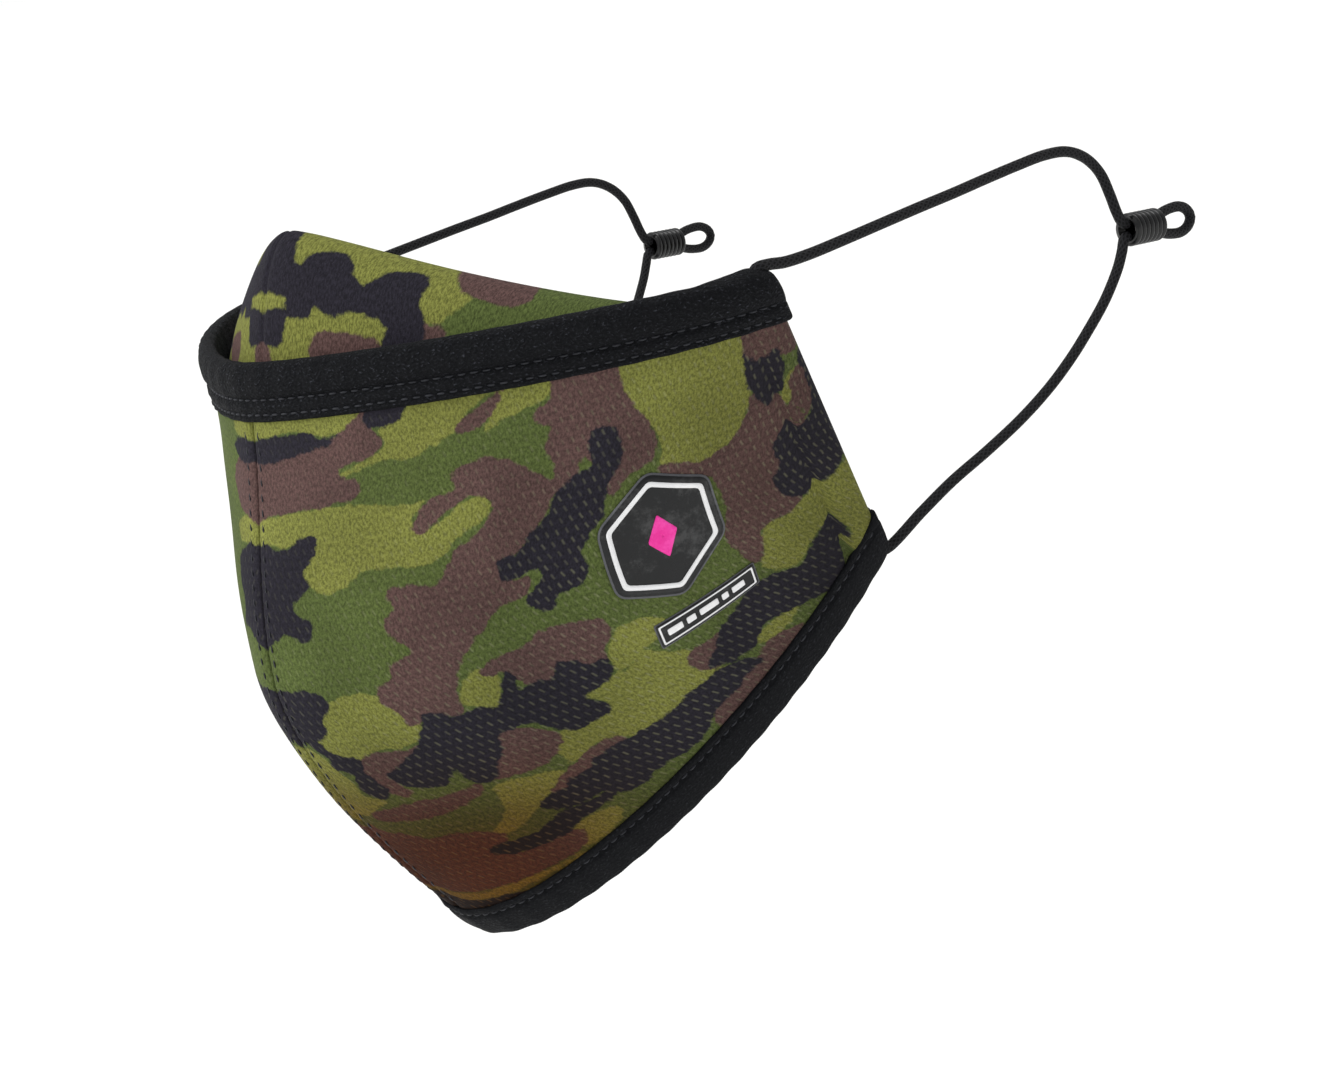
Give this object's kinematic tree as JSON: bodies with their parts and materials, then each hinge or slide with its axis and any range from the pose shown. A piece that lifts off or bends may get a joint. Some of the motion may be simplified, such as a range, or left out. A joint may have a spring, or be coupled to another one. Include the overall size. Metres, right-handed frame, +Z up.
{
  "type": "cloth face mask",
  "caption": "Cup-shaped cloth face mask in woodland camouflage, with black bindings, a raised nose liner and elastic ear loops with ribbed cord adjusters.",
  "frame": {"origin": "middle of the top rim, over the bridge of the nose", "axes": "+X to the wearer's left, +Y back towards the face, +Z up, with the top rim level"},
  "size_m": [0.1746, 0.2131, 0.1628],
  "materials": {
    "camo_mesh_knit": "camouflage print on polyester mesh knit",
    "camo_brushed_knit": "camouflage print on brushed knit",
    "black_knit_tape": "black knitted binding tape",
    "black_elastic_cord": "black braided elastic",
    "black_rubber": "semi-gloss moulded",
    "black_thread": "polyester sewing thread",
    "white_filter_fleece": "melt-blown fleece",
    "bare_steel_wire": "flat annealed wire",
    "printed_film": "heat-applied printed film"
  },
  "bodies": {
    "mask": {"bar_tack_left": "black_thread", "bar_tack_right": "black_thread", "bottom_binding": "black_knit_tape", "bottom_binding_stitching": "black_thread", "casing_bottom_sleeve_left": "black_knit_tape", "casing_bottom_sleeve_right": "black_knit_tape", "casing_stitching_left": "black_thread", "casing_stitching_right": "black_thread", "casing_top_sleeve_left": "black_knit_tape", "casing_top_sleeve_right": "black_knit_tape", "centre_seam_stitching_left": "black_thread", "centre_seam_stitching_right": "black_thread", "emblem_patch": "printed_film", "filter_insert": "white_filter_fleece", "label_strip": "printed_film", "liner_panel_left": "camo_brushed_knit", "liner_panel_right": "camo_brushed_knit", "nose_wire": "bare_steel_wire", "outer_panel_left": "camo_mesh_knit", "outer_panel_right": "camo_mesh_knit", "side_casing_left": "camo_mesh_knit", "side_casing_right": "camo_mesh_knit", "top_binding": "black_knit_tape", "top_binding_stitching_lower": "black_thread", "top_binding_stitching_upper": "black_thread"},
    "left_loop": {"ear_cord_left_in_casing": "black_elastic_cord", "ear_cord_left_upper": "black_elastic_cord", "ear_cord_left_lower": "black_elastic_cord"},
    "left_adjuster": {"cord_adjuster_left": "black_rubber", "ear_cord_left_tail": "black_elastic_cord"},
    "right_loop": {"ear_cord_right_in_casing": "black_elastic_cord", "ear_cord_right_upper": "black_elastic_cord", "ear_cord_right_lower": "black_elastic_cord"},
    "right_adjuster": {"cord_adjuster_right": "black_rubber", "ear_cord_right_tail": "black_elastic_cord"}
  },
  "joints": [
    {"name": "left_loop_swing", "type": "hinge", "parent": "mask", "child": "left_loop", "pos_m": [0.07426, 0.0852, -0.0342], "axis": [-0.1929, 0.4068, -0.8929], "range_deg": [-35, 120]},
    {"name": "left_adjuster_slide", "type": "slide", "parent": "left_loop", "child": "left_adjuster", "axis": [-0.0099, -0.995, 0.0995], "range_m": [-0.004, 0.03], "deforming": ["ear_cord_left_upper", "ear_cord_left_lower"]},
    {"name": "right_loop_swing", "type": "hinge", "parent": "mask", "child": "right_loop", "pos_m": [-0.07426, 0.0852, -0.0342], "axis": [-0.1929, -0.4068, 0.8929], "range_deg": [-35, 120]},
    {"name": "right_adjuster_slide", "type": "slide", "parent": "right_loop", "child": "right_adjuster", "axis": [0.0099, -0.995, 0.0995], "range_m": [-0.004, 0.03], "deforming": ["ear_cord_right_upper", "ear_cord_right_lower"]}
  ]
}
